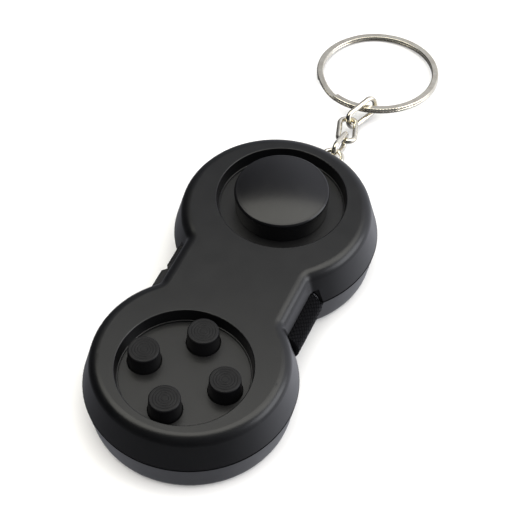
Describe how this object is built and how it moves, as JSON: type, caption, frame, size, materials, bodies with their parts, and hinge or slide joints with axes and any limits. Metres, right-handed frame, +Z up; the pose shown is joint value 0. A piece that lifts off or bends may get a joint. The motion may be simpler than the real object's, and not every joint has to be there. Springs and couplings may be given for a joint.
{
  "type": "fidget pad key ring",
  "caption": "Hand-held fidget pad in a two-lobed case: push buttons, sliding thumb cap, side rocker and roller, back dial, short chain and split ring.",
  "frame": {"origin": "middle of the flat underside of the case", "axes": "+Z up out of the front face, +Y along the case towards the key ring, +X to the right, the roller side"},
  "size_m": [0.0426, 0.1346, 0.0198],
  "materials": {
    "case_plastic": "satin moulded black ABS",
    "plate_plastic": "fine-textured black plastic",
    "button_rubber": "matte black rubber",
    "cap_plastic": "smooth satin black plastic",
    "roller_rubber": "knurled black",
    "rocker_plastic": "ribbed black plastic",
    "inner_plastic": "natural nylon",
    "dome_silicone": "translucent grey silicone",
    "pad_silicone": "soft black silicone",
    "screw_steel": "zinc-plated steel",
    "spring_steel": "spring steel",
    "nickel": "nickel-plated steel"
  },
  "bodies": {
    "casing": {"top_shell": "case_plastic", "bottom_shell": "case_plastic", "shell_screws": "screw_steel", "button_plate": "plate_plastic", "dome_carrier": "inner_plastic", "button_frame_screws": "screw_steel", "glide_plate": "plate_plastic", "glide_guide": "inner_plastic", "glide_frame_screws": "screw_steel", "centring_web": "dome_silicone", "roller_axle": "screw_steel", "roller_washers": "screw_steel", "rocker_pin": "screw_steel", "rocker_spring": "spring_steel", "thumb_pad": "pad_silicone", "screw_eye": "nickel", "dome_north": "dome_silicone", "dome_east": "dome_silicone", "dome_south": "dome_silicone", "dome_west": "dome_silicone"},
    "cross_slide": {"cross_slide": "inner_plastic"},
    "glide": {"glide_cap": "cap_plastic", "glide_slider": "inner_plastic", "glide_screw": "screw_steel"},
    "roller": {"roller": "roller_rubber"},
    "rocker": {"rocker": "rocker_plastic"},
    "dial": {"spin_dial": "cap_plastic", "dial_spring_washer": "spring_steel", "dial_screw": "screw_steel"},
    "link_1": {"chain_link_1": "nickel"},
    "link_2": {"chain_link_2": "nickel"},
    "link_3": {"chain_link_3": "nickel"},
    "key_ring": {"split_ring": "nickel"},
    "button_north": {"button_north": "button_rubber"},
    "button_east": {"button_east": "button_rubber"},
    "button_south": {"button_south": "button_rubber"},
    "button_west": {"button_west": "button_rubber"}
  },
  "joints": [
    {"name": "button_north_press", "type": "slide", "parent": "casing", "child": "button_north", "axis": [0, 0, -1], "range_m": [0, 0.0012], "stiffness_N_per_m": 500, "deforming": ["dome_north"]},
    {"name": "button_east_press", "type": "slide", "parent": "casing", "child": "button_east", "axis": [0, 0, -1], "range_m": [0, 0.0012], "stiffness_N_per_m": 500, "deforming": ["dome_east"]},
    {"name": "button_south_press", "type": "slide", "parent": "casing", "child": "button_south", "axis": [0, 0, -1], "range_m": [0, 0.0012], "stiffness_N_per_m": 500, "deforming": ["dome_south"]},
    {"name": "button_west_press", "type": "slide", "parent": "casing", "child": "button_west", "axis": [0, 0, -1], "range_m": [0, 0.0012], "stiffness_N_per_m": 500, "deforming": ["dome_west"]},
    {"name": "glide_across", "type": "slide", "parent": "casing", "child": "cross_slide", "axis": [1, 0, 0], "range_m": [-0.0022, 0.0022], "stiffness_N_per_m": 150, "deforming": ["centring_web"]},
    {"name": "glide_along", "type": "slide", "parent": "cross_slide", "child": "glide", "axis": [0, 1, 0], "range_m": [-0.0022, 0.0022], "stiffness_N_per_m": 150, "deforming": ["centring_web"]},
    {"name": "roller_spin", "type": "hinge", "parent": "casing", "child": "roller", "pos_m": [0.0131, 0, 0.0085], "axis": [0, 1, 0], "continuous": true},
    {"name": "rocker_tilt", "type": "hinge", "parent": "casing", "child": "rocker", "pos_m": [-0.012, 0, 0.0085], "axis": [0, 0, 1], "range_deg": [-5, 5], "stiffness_Nm_per_rad": 0.02, "deforming": ["rocker_spring"]},
    {"name": "dial_spin", "type": "hinge", "parent": "casing", "child": "dial", "pos_m": [0, -0.0208, 0.0003], "axis": [0, 0, 1], "continuous": true},
    {"name": "link_1_swing", "type": "hinge", "parent": "casing", "child": "link_1", "pos_m": [0.00283, 0.04677, 0.0085], "axis": [0.999, 0.0436, 0], "range_deg": [-50, 60]},
    {"name": "link_2_swing", "type": "hinge", "parent": "link_1", "child": "link_2", "pos_m": [0.00252, 0.05386, 0.0054], "axis": [0.0105, -0.2415, -0.9703], "range_deg": [-45, 45]},
    {"name": "link_3_swing", "type": "hinge", "parent": "link_2", "child": "link_3", "pos_m": [0.00151, 0.061, 0.00369], "axis": [0.9371, -0.3187, 0.1423], "range_deg": [-45, 28]},
    {"name": "key_ring_swing", "type": "hinge", "parent": "link_3", "child": "key_ring", "pos_m": [0.00288, 0.06557, 0.00367], "axis": [0.9836, 0.1777, 0.0311], "range_deg": [-35, 60]}
  ]
}
